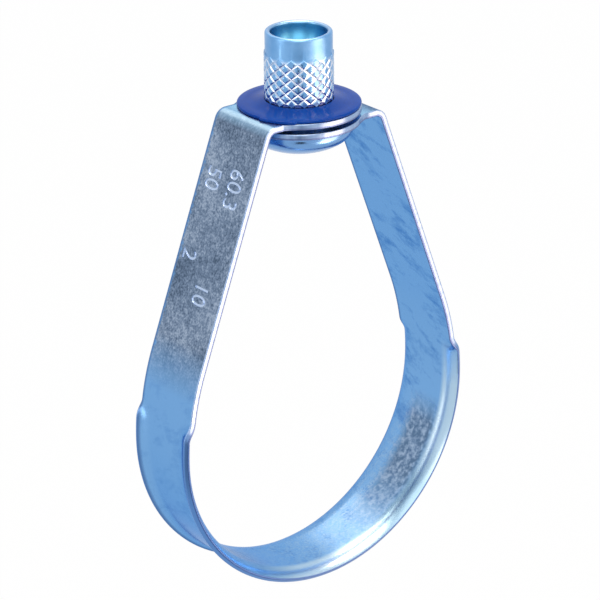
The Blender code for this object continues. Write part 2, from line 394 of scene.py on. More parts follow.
figureForm = {
    "size": 0.0057, "narrow": 0.8, "depth": 0.00013, "slope": 0.00006, "thinner": -0.00006,
    "figures": (("50", 0.0361, -0.0054), ("2", 0.0522, -0.0062),  # each with its place along and across
                ("60.3", 0.0350, 0.0009), ("10", 0.0571, -0.0003)),
}


def figureStamps(finish):
    # plain size figures, read down the leg, as the stamps that are pressed into the flat strip
    form = figureForm
    stamps = []
    for figure, along, across in form["figures"]:
        deselectAll()
        bpy.ops.object.text_add(rotation=(math.pi / 2, 0, 0),
                                location=(along, -bandForm["thickness"] / 2, across))
        stamp = bpy.context.object
        stamp.scale = (form["narrow"], 1, 1)
        stamp.data.body = figure
        stamp.data.size = form["size"]
        stamp.data.extrude = form["depth"]
        stamp.data.bevel_depth = form["slope"]
        stamp.data.offset = form["thinner"]
        bpy.ops.object.convert(target="MESH")
        applyPlace(stamp)
        stamps.append(stamp)
    joined = joinPieces(stamps)
    faceOutwards(joined)
    joined.data.materials.append(finish)
    return joined


def formBand(finishes, stampFinish):
    # the blank laid along the pear, given its thickness and broken edges, and its figures pressed in
    form = bandForm
    blank = cutBlank()
    for finish in finishes:
        blank.data.materials.append(finish)
    flat = blank.data.uv_layers.new(name="flatBlank")  # place on the flat strip, for patterns that follow it
    for loop in blank.data.loops:
        point = blank.data.vertices[loop.vertex_index].co
        flat.data[loop.index].uv = (point.x, point.z)
    layAlongPear(blank)
    applyModifier(blank, "SOLIDIFY", thickness=form["thickness"], offset=0.0, use_even_offset=True,
                  material_offset=outsideSlot, material_offset_rim=cutSlot)
    splitCutEdge(blank)
    applyModifier(blank, "BEVEL", width=form["edgeBreak"], segments=form["breakSteps"], limit_method="ANGLE",
                  angle_limit=math.radians(form["breakAngle"]), material=cutSlot, harden_normals=False)
    markTornShadeCorner(blank)
    stamps = figureStamps(stampFinish)
    layAlongPear(stamps)
    applyModifier(blank, "BOOLEAN", object=stamps, operation="DIFFERENCE", solver="EXACT",
                  material_mode="TRANSFER")
    bpy.data.objects.remove(stamps)
    smoothPiece(blank, form["smoothAngle"])
    applyModifier(blank, "WEIGHTED_NORMAL", keep_sharp=True, weight=form["normalWeight"])
    return blank


# insert nut: knurled barrel with a rounded rim, a threaded bore and a bowl-shaped flange

nutForm = {
    "barrelRadius": 0.00628, "rimRound": 0.0005, "rimSteps": 6, "smoothAngle": 30.0,
    "mouthRadius": 0.00528, "mouthRound": 0.00048, "mouthRoundSteps": 5,
    "mouthDepth": 0.0036, "mouthTurn": 70.0, "mouthSteps": 10,
    "knurlRadius": 0.00648, "knurlRoot": 0.00634, "knurlTop": -0.0038, "knurlRows": 5, "knurlCells": 17,
    "cellHeight": 0.00192, "cellTurn": -125.0, "grooveHalf": 0.00025, "shellCuts": 5, "landCuts": 2,
    "landShare": 0.6,  # points above this share of the knurl's height belong to the diamonds' faces
    "boreRadius": 0.00425, "recessRadius": 0.00515, "recessFloor": 0.0008,
    "threadMajor": 0.00506, "threadPitch": 0.0015, "threadGap": 0.0001,
    "threadFlank": 30.0, "threadSteps": 60, "threadSmooth": 25.0,
    "flangeTop": -0.01786, "flangeRadius": 0.0103, "flangeEdge": 0.0004,
    "flangeCorner": ((0.0, 0.00016), (0.00004, 0.000048), (0.00016, 0.0)),  # in from the edge, down from top
    "bowlDepth": 0.0047, "bowlSteps": 24, "footRadius": 0.0051, "footChamfer": 0.0005,
}


def roundTo(piece, radius, test):
    # brings the picked points out to a radius about the rod's axis
    for vertex in piece.data.vertices:
        if test(vertex.co):
            reach = math.hypot(vertex.co.x, vertex.co.y)
            vertex.co.x *= radius / reach
            vertex.co.y *= radius / reach


def knurlSleeve():
    # a coarse tube whose faces are turned into diamonds, each raised between crossing grooves
    form = nutForm
    rows, height, top = form["knurlRows"], form["cellHeight"], form["knurlTop"]
    bottom = top - rows * height
    profile = [(form["knurlRoot"], top - row * height) for row in range(rows + 1)]
    sleeve = turnPiece("knurl", profile, form["knurlCells"], math.radians(form["cellTurn"]))
    openPiece(sleeve)
    bpy.ops.mesh.select_all(action="SELECT")
    bpy.ops.mesh.normals_make_consistent(inside=False)
    bpy.ops.mesh.poke()
    pick(sleeve, lambda p: abs((top - p.z) / height - round((top - p.z) / height)) * height < near, "EDGE",
         border=False)
    bpy.ops.mesh.dissolve_edges(use_verts=False)
    closePiece()
    roundTo(sleeve, form["knurlRoot"], lambda p: bottom + near < p.z < top - near)
    openPiece(sleeve)
    pick(sleeve, lambda p: abs(p.z - top) < near or abs(p.z - bottom) < near, "EDGE")
    bpy.ops.mesh.subdivide(number_cuts=form["shellCuts"])
    bpy.ops.mesh.select_mode(type="FACE")
    bpy.ops.mesh.select_all(action="DESELECT")
    bpy.ops.mesh.select_face_by_sides(number=4, type="EQUAL")
    rise = form["knurlRadius"] - form["knurlRoot"]
    bpy.ops.mesh.inset(thickness=form["grooveHalf"], depth=rise, use_individual=True, use_even_offset=True)
    bpy.ops.mesh.subdivide(number_cuts=form["landCuts"])
    closePiece()
    landFrom = form["knurlRoot"] + rise * form["landShare"]
    roundTo(sleeve, form["knurlRadius"], lambda p: math.hypot(p.x, p.y) > landFrom)
    roundTo(sleeve, form["barrelRadius"], lambda p: abs(p.z - top) < near or abs(p.z - bottom) < near)
    return sleeve


def bowlShape():
    # height of the flange bowl's edge, turn of its arc down to the foot in degrees, and height of the foot
    form = nutForm
    top = form["flangeTop"] - form["flangeEdge"]
    turn = math.acos(form["footRadius"] / form["flangeRadius"])
    return top, math.degrees(turn), top - form["bowlDepth"] * math.sin(turn)


def nutShell():
    # everything of the nut that is plainly turned
    form = nutForm
    barrel, rim = form["barrelRadius"], form["rimRound"]
    bore, mouth, mouthRound = form["boreRadius"], form["mouthRadius"], form["mouthRound"]
    flareTurn = math.radians(form["mouthTurn"])
    flareReach = (mouth - bore) / (1 - math.cos(flareTurn))
    flareDrop = (form["mouthDepth"] - mouthRound) / math.sin(flareTurn)
    rimArc = arcPoints((barrel - rim, -rim), (rim, rim), 0, 90, form["rimSteps"])
    mouthArc = arcPoints((mouth + mouthRound, -mouthRound), (mouthRound, mouthRound), 90, 180,
                         form["mouthRoundSteps"])
    flareArc = arcPoints((mouth - flareReach, -mouthRound), (flareReach, flareDrop), 0, -form["mouthTurn"],
                         form["mouthSteps"])
    threadTop = -form["mouthDepth"] - form["threadGap"]
    bowlTop, footTurn, foot = bowlShape()
    recess, recessEnd = form["recessRadius"], foot + form["recessFloor"]
    boreEnd = [(bore, threadTop), (recess, threadTop), (recess, recessEnd), (bore, recessEnd),
               (bore, foot + form["footChamfer"]), (bore + form["footChamfer"], foot)]
    flange = form["flangeRadius"]
    bowlArc = arcPoints((0, bowlTop), (flange, form["bowlDepth"]), -footTurn, 0, form["bowlSteps"])
    corner = [(flange - inward, form["flangeTop"] - down) for inward, down in form["flangeCorner"]]
    knurlEnd = form["knurlTop"] - form["knurlRows"] * form["cellHeight"]
    profile = [(barrel, form["knurlTop"])] + rimArc + mouthArc + flareArc[1:] + boreEnd + bowlArc + corner
    profile += [(barrel, form["flangeTop"]), (barrel, knurlEnd)]
    sides = form["knurlCells"] * (form["shellCuts"] + 1)
    return turnPiece("insert_nut_shell", profile, sides, math.radians(form["cellTurn"]))


def cutThread():
    # one turn's tooth form drawn as a line, then screwed down the bore
    form = nutForm
    pitch, crest, root = form["threadPitch"], form["boreRadius"], form["threadMajor"]
    flank = (root - crest) * math.tan(math.radians(form["threadFlank"]))
    crestFlat = pitch / 4
    rootFlat = pitch - crestFlat - 2 * flank
    top = -form["mouthDepth"] - form["threadGap"]
    foot = bowlShape()[2]
    turns = int((-form["mouthDepth"] - foot) / pitch)
    deselectAll()
    bpy.ops.mesh.primitive_plane_add(size=pitch, location=(crest, 0, top))
    thread = bpy.context.object
    thread.name = "nut_thread"
    applyPlace(thread)
    openPiece(thread)
    bpy.ops.mesh.select_mode(type="VERT")
    bpy.ops.mesh.select_all(action="SELECT")
    bpy.ops.mesh.merge(type="CENTER")
    for out, down in ((0, crestFlat), (root - crest, flank), (0, rootFlat), (crest - root, flank)):
        bpy.ops.mesh.extrude_vertices_move(TRANSFORM_OT_translate={"value": (out, 0, -down)})
    closePiece()
    applyModifier(thread, "SCREW", axis="Z", angle=2 * math.pi, screw_offset=-pitch, iterations=turns,
                  steps=form["threadSteps"], render_steps=form["threadSteps"], use_merge_vertices=False)
    openPiece(thread)
    bpy.ops.mesh.select_all(action="SELECT")
    bpy.ops.mesh.remove_doubles(threshold=weld)
    bpy.ops.mesh.normals_make_consistent(inside=True)
    closePiece()
    smoothPiece(thread, form["threadSmooth"])
    return thread


def makeNut():
    nut = joinPieces([nutShell(), knurlSleeve()])
    nut.name = "insert_nut_turned"
    faceOutwards(nut)
    smoothPiece(nut, nutForm["smoothAngle"])
    return nut


# retaining washer: a thin dished disc pressed over the knurl, with the stub of its shear tab

washerForm = {
    "holeRadius": 0.00650, "radius": 0.0116, "thickness": 0.00062, "dish": 0.0006, "flatWidth": 0.0016,
    "seat": -0.01432, "sides": 144, "dishSteps": 10, "rimSteps": 6, "smoothAngle": 35.0,
    "tabReach": 0.0006, "tabStart": -166.0, "tabEnd": -131.0,
}


def makeWasher():
    form = washerForm
    flatStart = form["radius"] - form["flatWidth"]
    underside = []
    for step in range(form["dishSteps"] + 1):
        share = step / form["dishSteps"]
        radius = form["holeRadius"] + (flatStart - form["holeRadius"]) * share
        underside.append((radius, form["seat"] + form["dish"] * (1 - math.sin(math.pi / 2 * share))))
    thick = form["thickness"]
    rim = thick / 2
    edge = arcPoints((form["radius"] - rim, form["seat"] + rim), (rim, rim), -90, 90, form["rimSteps"])
    top = [(radius, height + thick) for radius, height in reversed(underside)]
    section = underside + edge + top
    washer = turnPiece("retaining_washer_disc", section + section[:1], form["sides"])
    openPiece(washer)
    start, end = math.radians(form["tabStart"]), math.radians(form["tabEnd"])
    pick(washer, lambda p: math.hypot(p.x, p.y) > form["radius"] - rim - near
         and start <= math.atan2(p.y, p.x) <= end)
    share = 1 + form["tabReach"] / form["radius"]
    bpy.ops.transform.resize(value=(share, share, 1), center_override=(0, 0, 0))
    closePiece()
    faceOutwards(washer)
    smoothPiece(washer, form["smoothAngle"])
    return washer


# finishes

zincLook = {
    "blue": "#74A6D9", "deepBlue": "#3F76BA", "frostSheen": "#88B0D8", "grazing": "#BAD2F2",
    # grey grain colours, which also paint darker reflections
    "darkGrey": "#4C5D73", "grey": "#70839D", "paleGrey": "#9BACC2",
    "grain": 0.00022, "speckle": 0.0006, "blotch": 0.006,  # zinc grain, its clusters, and large clouds
    "smear": 0.001923, "smearTurn": -1.2, "smearStretch": (1.7, 0.8, 1.0), "smearRange": (0.5, 0.62),
    "smearBlotch": 0.3, "smearSpeckle": 0.15, "fleckSpeckle": 0.5, "mottleBlotch": 0.3,  # shares mixed in
    "fleckRange": (0.42, 0.62), "wander": 0.003, "relief": 0.00003, "roughness": (0.26, 0.32),
    "lowest": 0.14059, "reach": 0.14,  # the ring's lowest place on the flat strip, half the strip's length
    "frostSheenAlong": (0.2, 0.3),  # where the frost and its painted highlight end, as shares of the reach from the lowest place
}
paintedLightLook = {
    "lipHighlight": "#AECBE2", "lipShade": "#7FA2BE",  # painted highlight along the back lip, and painted shade where the lip dims between its highlights
    "lipAcross": (0.0045, 0.0054), "lipAlong": (0.34, 0.41), "lipStart": (-0.020, -0.008),
    "lipShadeAlong": ((0.04, "#000000"), (0.12, "#FFFFFF"), (0.19, "#FFFFFF"), (0.25, "#000000")),
    "pale": "#AAD4EC", "paleAlong": (0.805, 0.832),  # painted highlight on the top bends and eyelets
    # painted shade along the strip's rounded back edge
    "marginShade": "#46689C", "marginAcross": (-0.0069, -0.0075), "marginShare": 0.8,
}
legDullAndShade = {  # the dull patches on the legs' outer side, grey grain that also paints darker reflections, "inside" being 1 for the strip's inner side
    "along": ((0.38, "#000000"), (0.44, "#303030"), (0.51, "#FFFFFF"), (0.805, "#FFFFFF"),
              (0.838, "#000000")),
    "front": 0.0095, "back": -0.0072, "soft": 0.0003, "share": 1.0, "coarse": 0.45, "spread": 0.1,
    "smears": 0.35, "inside": 0.0,
}
# the dull patch on the ring's inner side, grey grain that also paints a darker reflection
ringDullAndShade = {
    "along": ((0.08, "#000000"), (0.19, "#FFFFFF"), (0.275, "#FFFFFF"), (0.315, "#000000")),
    "front": 0.0050, "back": -0.0026, "soft": 0.0012, "share": 0.78, "coarse": 0.85, "spread": 0.07,
    "smears": 0.75, "inside": 1.0,
}


def fromLowest(tree, along):
    # distance along the strip from the ring's lowest point
    offset = addNode(tree, "ShaderNodeMath", {0: along, 1: zincLook["lowest"]},
                     operation="SUBTRACT").outputs[0]
    return addNode(tree, "ShaderNodeMath", {0: offset}, operation="ABSOLUTE").outputs[0]


def smoothZinc(tree, zone, flat, along, clouds):
    # blue zinc with slanted darker smears, and pale frost on the ring's inner side: real mottle whose
    # paleness is a painted highlight
    look = zincLook
    grain, speckle, blotch = clouds
    slanted = addNode(tree, "ShaderNodeMapping", {"Vector": flat, "Rotation": (0, 0, look["smearTurn"]),
                                                  "Scale": look["smearStretch"]},
                      vector_type="TEXTURE").outputs[0]
    smear = addNode(tree, "ShaderNodeTexNoise", {"Vector": slanted, "Scale": 0.5 / look["smear"],
                                                 "Detail": 6.0, "Roughness": 0.68}).outputs[0]
    for share, cloud in ((look["smearBlotch"], blotch), (look["smearSpeckle"], speckle)):
        smear = addNode(tree, "ShaderNodeMix", {0: share, 2: smear, 3: cloud}, data_type="FLOAT").outputs[0]
    smearFrom, smearTo = look["smearRange"]
    smearShare = addNode(tree, "ShaderNodeMapRange", {0: smear, 1: smearFrom, 2: smearTo,
                                                      4: zone["smears"]}).outputs[0]
    smooth = addNode(tree, "ShaderNodeMix", {0: smearShare, 6: linearColour(look["blue"]),
                                             7: linearColour(look["deepBlue"])}, data_type="RGBA").outputs[2]
    fleck = addNode(tree, "ShaderNodeMix", {0: look["fleckSpeckle"], 2: grain, 3: speckle},
                    data_type="FLOAT").outputs[0]
    fleckFrom, fleckTo = look["fleckRange"]
    fleck = addNode(tree, "ShaderNodeMapRange", {0: fleck, 1: fleckFrom, 2: fleckTo}).outputs[0]
    # the frost: zinc mottle, made pale as a painted highlight near the ring's lowest place
    frostSheenFrom, frostSheenTo = look["frostSheenAlong"]
    frostSheenShare = addNode(tree, "ShaderNodeMapRange", {0: along, 1: frostSheenFrom, 2: frostSheenTo, 3: zone["inside"],
                                                  4: 0.0}).outputs[0]
    frostSheenShare = addNode(tree, "ShaderNodeMath", {0: fleck, 1: frostSheenShare}, operation="MULTIPLY").outputs[0]
    return addNode(tree, "ShaderNodeMix", {0: frostSheenShare, 6: smooth, 7: linearColour(look["frostSheen"])},
                   data_type="RGBA").outputs[2]


def dullGrainAndShade(tree, zone, across, along, clouds):
    # grey grain that also paints darker reflections: its colour, its pattern and the share that it has at
    # each place
    look = zincLook
    grain, speckle, blotch = clouds
    mottle = addNode(tree, "ShaderNodeMix", {0: zone["coarse"], 2: grain, 3: speckle},
                     data_type="FLOAT").outputs[0]
    mottle = addNode(tree, "ShaderNodeMix", {0: look["mottleBlotch"], 2: mottle, 3: blotch},
                     data_type="FLOAT").outputs[0]
    dullAndShade = addNode(tree, "ShaderNodeValToRGB", {0: mottle}, ramp=(
        (0.5 - zone["spread"], look["darkGrey"]), (0.5, look["grey"]),
        (0.5 + zone["spread"], look["paleGrey"]))).outputs[0]
    share = addNode(tree, "ShaderNodeValToRGB", {0: along}, ramp=zone["along"]).outputs[0]
    uneven = addNode(tree, "ShaderNodeMath", {0: speckle, 1: 0.5}, operation="SUBTRACT").outputs[0]
    across = addNode(tree, "ShaderNodeMath", {0: uneven, 1: look["wander"], 2: across},
                     operation="MULTIPLY_ADD").outputs[0]
    for side, below, above in (("front", 1.0, 0.0), ("back", 0.0, 1.0)):
        limit = addNode(tree, "ShaderNodeMapRange", {0: across, 1: zone[side] - zone["soft"],
                                                     2: zone[side] + zone["soft"],
                                                     3: below, 4: above}).outputs[0]
        share = addNode(tree, "ShaderNodeMath", {0: share, 1: limit}, operation="MULTIPLY").outputs[0]
    share = addNode(tree, "ShaderNodeMath", {0: share, 1: zone["share"]}, operation="MULTIPLY").outputs[0]
    return dullAndShade, mottle, share


def paintedLightMarks(tree, zone, place, along, face):
    # painted light on the zinc: a painted highlight with painted shade along the back lip, a painted
    # highlight on the top bends and painted shade along the back margin
    look = paintedLightLook
    lipFrom, lipTo = look["lipAlong"]
    ring = addNode(tree, "ShaderNodeMapRange", {0: along, 1: lipFrom, 2: lipTo, 3: zone["inside"],
                                                4: 0.0}).outputs[0]
    foldFrom, foldTo = look["lipAcross"]
    lip = addNode(tree, "ShaderNodeMapRange", {0: place["Y"], 1: foldFrom, 2: foldTo}).outputs[0]
    lip = addNode(tree, "ShaderNodeMath", {0: lip, 1: ring}, operation="MULTIPLY").outputs[0]
    # painted highlight on the back lip, fading in before the ring's lowest place
    startFrom, startTo = look["lipStart"]
    lipHighlightStart = addNode(tree, "ShaderNodeMapRange", {0: place["X"], 1: zincLook["lowest"] + startFrom,
                                                  2: zincLook["lowest"] + startTo}).outputs[0]
    lip = addNode(tree, "ShaderNodeMath", {0: lip, 1: lipHighlightStart}, operation="MULTIPLY").outputs[0]
    # painted shade on the lip between its highlights
    lipShade = addNode(tree, "ShaderNodeValToRGB", {0: along}, ramp=look["lipShadeAlong"]).outputs[0]
    # the lip's painted highlight, dimmed by its painted shade
    polish = addNode(tree, "ShaderNodeMix", {0: lipShade, 6: linearColour(look["lipHighlight"]),
                                             7: linearColour(look["lipShade"])}, data_type="RGBA").outputs[2]
    # painted highlight on the outer side of the top bends and eyelets
    paleFrom, paleTo = look["paleAlong"]
    top = addNode(tree, "ShaderNodeMapRange", {0: along, 1: paleFrom, 2: paleTo,
                                               4: 1.0 - zone["inside"]}).outputs[0]
    # painted shade along the back margin
    marginFrom, marginTo = look["marginAcross"]
    margin = addNode(tree, "ShaderNodeMapRange", {0: place["Y"], 1: marginFrom, 2: marginTo,
                                                  4: look["marginShare"]}).outputs[0]
    pale, marginShade = linearColour(look["pale"]), linearColour(look["marginShade"])
    for share, colour in ((lip, polish), (top, pale), (margin, marginShade)):
        face = addNode(tree, "ShaderNodeMix", {0: share, 6: face, 7: colour}, data_type="RGBA").outputs[2]
    return face


def galvanizedSteel(name, zone):
    # hot-dip galvanized strip: blue-bright zinc with soft smears, and dull patches of fine grey grain that
    # also paint darker reflections
    look = zincLook
    material, tree, output = newMaterial(name)
    flat = addNode(tree, "ShaderNodeUVMap", uv_map="flatBlank").outputs["UV"]
    place = addNode(tree, "ShaderNodeSeparateXYZ", {0: flat}).outputs
    along = addNode(tree, "ShaderNodeMath", {0: fromLowest(tree, place["X"]), 1: look["reach"]},
                    operation="DIVIDE").outputs[0]
    clouds = []
    for size, detail, roughness in (("grain", 2.0, 0.6), ("speckle", 3.0, 0.6), ("blotch", 2.0, 0.5)):
        cloud = addNode(tree, "ShaderNodeTexNoise", {"Vector": flat, "Scale": 0.5 / look[size],
                                                     "Detail": detail, "Roughness": roughness})
        clouds.append(cloud.outputs[0])
    smooth = smoothZinc(tree, zone, flat, along, clouds)
    dullAndShade, mottle, dullAndShadeShare = dullGrainAndShade(tree, zone, place["Y"], along, clouds)
    face = addNode(tree, "ShaderNodeMix", {0: dullAndShadeShare, 6: smooth, 7: dullAndShade}, data_type="RGBA").outputs[2]
    colour = paintedLightMarks(tree, zone, place, along, face)
    smoothest, roughest = look["roughness"]
    rough = addNode(tree, "ShaderNodeMapRange", {0: dullAndShadeShare, 3: smoothest, 4: roughest}).outputs[0]
    relief = addNode(tree, "ShaderNodeMath", {0: mottle, 1: dullAndShadeShare}, operation="MULTIPLY").outputs[0]
    bump = addNode(tree, "ShaderNodeBump", {"Height": relief, "Distance": look["relief"],
                                            "Strength": 0.5}).outputs[0]
    shader = addNode(tree, "ShaderNodeBsdfPrincipled", {
        "Base Color": colour, "Metallic": 1.0, "Roughness": rough, "Normal": bump,
        "Specular Tint": linearColour(look["grazing"])})
    tree.links.new(shader.outputs[0], output.inputs[0])
    return material


cutEdgeLook = {
    "grain": 0.00055556,
    "ringShadeTo": (0.054, 0.058),  # how far from the ring's lowest point the painted darker reflection reaches
}
# each edge look's ring colour is a painted darker reflection on the ring's cut edges
shearedLook = {"dark": "#7898C4", "pale": "#98B0D2", "ringShadeBlue": "#5A86C2", "roughness": 0.3}
# the torn zone: rougher, and darkened as painted shade along the strip's inner corner
tornShadeLook = {"dark": "#5C70A0", "pale": "#6C80AC", "ringShadeBlue": "#46649C", "roughness": 0.45}


def cutEdgeFinish(name, look):
    # the strip's cut edges: bare metal on the legs, and on the ring a painted darker reflection in zinc blue
    material, tree, output = newMaterial(name)
    flat = addNode(tree, "ShaderNodeUVMap", uv_map="flatBlank").outputs["UV"]
    grain = addNode(tree, "ShaderNodeTexNoise", {"Vector": flat, "Scale": 0.5 / cutEdgeLook["grain"],
                                                 "Detail": 3.0}).outputs[0]
    bare = addNode(tree, "ShaderNodeValToRGB", {0: grain}, ramp=((0.3, look["dark"]), (0.7, look["pale"])))
    place = addNode(tree, "ShaderNodeSeparateXYZ", {0: flat}).outputs
    # painted darker reflection on the cut edges of the ring
    ringShadeFrom, ringShadeTo = cutEdgeLook["ringShadeTo"]
    ringShade = addNode(tree, "ShaderNodeMapRange", {0: fromLowest(tree, place["X"]), 1: ringShadeFrom, 2: ringShadeTo,
                                                 3: 1.0, 4: 0.0}).outputs[0]
    colour = addNode(tree, "ShaderNodeMix", {0: ringShade, 6: bare.outputs[0], 7: linearColour(look["ringShadeBlue"])},
                     data_type="RGBA").outputs[2]
    shader = addNode(tree, "ShaderNodeBsdfPrincipled", {"Base Color": colour, "Metallic": 1.0,
                                                        "Roughness": look["roughness"]})
    tree.links.new(shader.outputs[0], output.inputs[0])
    return material


stampLook = {"colour": "#B4C8E4", "roughness": 0.3}


def stampedZinc():
    # the figures' grooves: zinc pressed smooth and pale
    material, tree, output = newMaterial("stampedZinc")
    shader = addNode(tree, "ShaderNodeBsdfPrincipled", {"Base Color": linearColour(stampLook["colour"]),
                                                        "Metallic": 1.0, "Roughness": stampLook["roughness"]})
    tree.links.new(shader.outputs[0], output.inputs[0])
    return material


plateLook = {
    "dark": "#669CD2", "light": "#7EAEDE", "cloud": 0.001923,
    # the bore colour is painted shade inside the bore; the groove and rim colours are painted highlights in
    # the knurl's grooves and on the rim's top
    "bore": "#4E96C2", "grooveHighlight": "#BCCCE2", "flange": "#709CD0", "rim": "#86AAD4",
    "markWidth": 0.00011111, "markLength": 0.016667, "relief": 0.000004,  # the lathe tool's fine rings
    "markRange": (0.3, 0.7), "roughness": (0.3, 0.38),
    "polish": 0.12,  # the knurl and all below it is that much less rough
    "knurlFade": (0.0013, 0.0004),  # below the knurl's top, where its finish is full and where it starts
    "grooveSlope": 0.00006, "rimShare": 0.75,
    "barrelMargin": 0.0001,  # inside the knurl's root, so that the plain barrel still counts as outside
}


def zincPlate():
    # bright electroplated zinc on turned steel: mirror-like with a cold blue cast, with painted shade inside
    # the bore and painted highlights in the knurl's grooves and on the rim's top
    form, look = nutForm, plateLook
    material, tree, output = newMaterial("brightZincPlate")
    place = addNode(tree, "ShaderNodeTexCoord").outputs["Object"]
    lengthwise = 1 / look["markLength"]
    rings = addNode(tree, "ShaderNodeMapping", {
        "Vector": place, "Scale": (lengthwise, lengthwise, 1 / look["markWidth"])}).outputs[0]
    marks = addNode(tree, "ShaderNodeTexNoise", {"Vector": rings, "Scale": 1.0, "Detail": 2.0}).outputs[0]
    clouds = addNode(tree, "ShaderNodeTexNoise", {"Vector": place, "Scale": 0.5 / look["cloud"],
                                                  "Detail": 3.0}).outputs[0]
    colour = addNode(tree, "ShaderNodeValToRGB", {0: clouds},
                     ramp=((0.3, look["dark"]), (0.7, look["light"]))).outputs[0]
    flatPlace = addNode(tree, "ShaderNodeMapping", {"Vector": place, "Scale": (1, 1, 0)}).outputs[0]
    reach = addNode(tree, "ShaderNodeVectorMath", {0: flatPlace}, operation="LENGTH").outputs["Value"]
    height = addNode(tree, "ShaderNodeSeparateXYZ", {0: place}).outputs["Z"]
    # painted shade inside the bore
    bore = addNode(tree, "ShaderNodeMapRange", {0: reach, 1: form["mouthRadius"], 3: 1.0, 4: 0.0,
                                                2: form["mouthRadius"] + form["mouthRound"]}).outputs[0]
    fadeEnd, fadeStart = look["knurlFade"]
    below = addNode(tree, "ShaderNodeMapRange", {0: height, 1: form["knurlTop"] - fadeEnd,
                                                 2: form["knurlTop"] - fadeStart, 3: 1.0, 4: 0.0}).outputs[0]
    # painted highlight in the knurl's grooves
    grooveHighlight = addNode(tree, "ShaderNodeMapRange", {0: reach, 1: form["knurlRadius"] - look["grooveSlope"],
                                                  2: form["knurlRadius"], 3: 1.0, 4: 0.0}).outputs[0]
    grooveHighlight = addNode(tree, "ShaderNodeMath", {0: grooveHighlight, 1: below}, operation="MULTIPLY").outputs[0]
    outside = addNode(tree, "ShaderNodeMath", {0: reach, 1: form["knurlRoot"] - look["barrelMargin"]},
                      operation="GREATER_THAN").outputs[0]
    grooveHighlight = addNode(tree, "ShaderNodeMath", {0: grooveHighlight, 1: outside}, operation="MULTIPLY").outputs[0]
    flange = addNode(tree, "ShaderNodeMath", {0: height, 1: form["flangeTop"]},
                     operation="LESS_THAN").outputs[0]
    # painted highlight on the rim's top, inside its outer rounding
    rim = addNode(tree, "ShaderNodeMapRange", {0: height, 1: -form["rimRound"], 2: 0.0}).outputs[0]
    crestEnd = form["barrelRadius"] - form["rimRound"] * look["rimShare"]
    crest = addNode(tree, "ShaderNodeMapRange", {0: reach, 1: form["barrelRadius"] - form["rimRound"],
                                                 2: crestEnd, 3: 1.0, 4: 0.0}).outputs[0]
    rim = addNode(tree, "ShaderNodeMath", {0: rim, 1: crest}, operation="MULTIPLY").outputs[0]
    for share, shade in ((bore, "bore"), (grooveHighlight, "grooveHighlight"), (flange, "flange"), (rim, "rim")):
        colour = addNode(tree, "ShaderNodeMix", {0: share, 6: colour, 7: linearColour(look[shade])},
                         data_type="RGBA").outputs[2]
    faint, deep = look["markRange"]
    smoothest, roughest = look["roughness"]
    rough = addNode(tree, "ShaderNodeMapRange", {0: marks, 1: faint, 2: deep, 3: smoothest,
                                                 4: roughest}).outputs[0]
    rough = addNode(tree, "ShaderNodeMath", {0: below, 1: -look["polish"], 2: rough},
                    operation="MULTIPLY_ADD").outputs[0]
    bump = addNode(tree, "ShaderNodeBump", {"Height": marks, "Distance": look["relief"],
                                            "Strength": 0.4}).outputs[0]
    shader = addNode(tree, "ShaderNodeBsdfPrincipled", {"Base Color": colour, "Metallic": 1.0,
                                                        "Roughness": rough, "Normal": bump})
    tree.links.new(shader.outputs[0], output.inputs[0])
    return material


coatingLook = {
    "dark": "#06348A", "light": "#0E3C92", "cloud": 0.0027778,
    "roughness": 0.08, "ior": 1.33, "shine": 0.1,  # a thin lacquer, shining most at a slant
}


def blueGloss():
    # stamped steel disc with a smooth royal-blue coating that mirrors the knurl
    look = coatingLook
    material, tree, output = newMaterial("blueGlossCoating")
    place = addNode(tree, "ShaderNodeTexCoord").outputs["Object"]
    clouds = addNode(tree, "ShaderNodeTexNoise", {"Vector": place, "Scale": 0.5 / look["cloud"],
                                                  "Detail": 2.0}).outputs[0]
    colour = addNode(tree, "ShaderNodeValToRGB", {0: clouds},
                     ramp=((0.3, look["dark"]), (0.7, look["light"]))).outputs[0]
    shader = addNode(tree, "ShaderNodeBsdfPrincipled", {
        "Base Color": colour, "Roughness": look["roughness"], "IOR": look["ior"],
        "Specular IOR Level": look["shine"]})
    tree.links.new(shader.outputs[0], output.inputs[0])
    return material


# studio: white floor and surroundings, soft boxes, and the camera at the photograph's angle

studioSet = {
    "floorHeight": -0.95, "floorSize": 16.0, "floorPaper": "#F4F4F4", "floorGlow": 0.99,
    "worldStrength": 0.55,
    "centre": (0.0, 0.0, -0.05), "boxDistance": 1.1, "boardDistance": 0.6, "boardColour": "#141A28",
    "boxes": (  # name, azimuth, elevation, width, height, radiance, colour
        ("frontBox", -38, 36, 0.75, 0.95, 2.2, "#FFE4CC"),
        ("sideBox", 28, -4, 0.8, 1.9, 3.9, "#FFC8A0"),
        ("lowSideBox", 22, -36, 0.34, 0.3, 11.0, "#FFE4CC"),
        ("leftBox", -100, 17, 0.4, 1.2, 2.1, "#FFE4CC"),
        ("backBox", 168, 47, 0.7, 0.42, 1.45, "#FFD8B8"),
        ("overheadBox", 114, 84, 0.9, 0.9, 7.0, "#FFE0C4"),
    ),
    "board": ("darkBoardLow", -36, -25, 0.18, 0.25),  # name, azimuth, elevation, width, height
}


def seenRays(tree):
    # 1 for camera, glossy and transmission rays, 0 for the light on the object
    light = addNode(tree, "ShaderNodeLightPath").outputs
    seen = addNode(tree, "ShaderNodeMath", {0: light["Is Camera Ray"], 1: light["Is Glossy Ray"]},
                   operation="MAXIMUM").outputs[0]
    return addNode(tree, "ShaderNodeMath", {0: seen, 1: light["Is Transmission Ray"]},
                   operation="MAXIMUM").outputs[0]


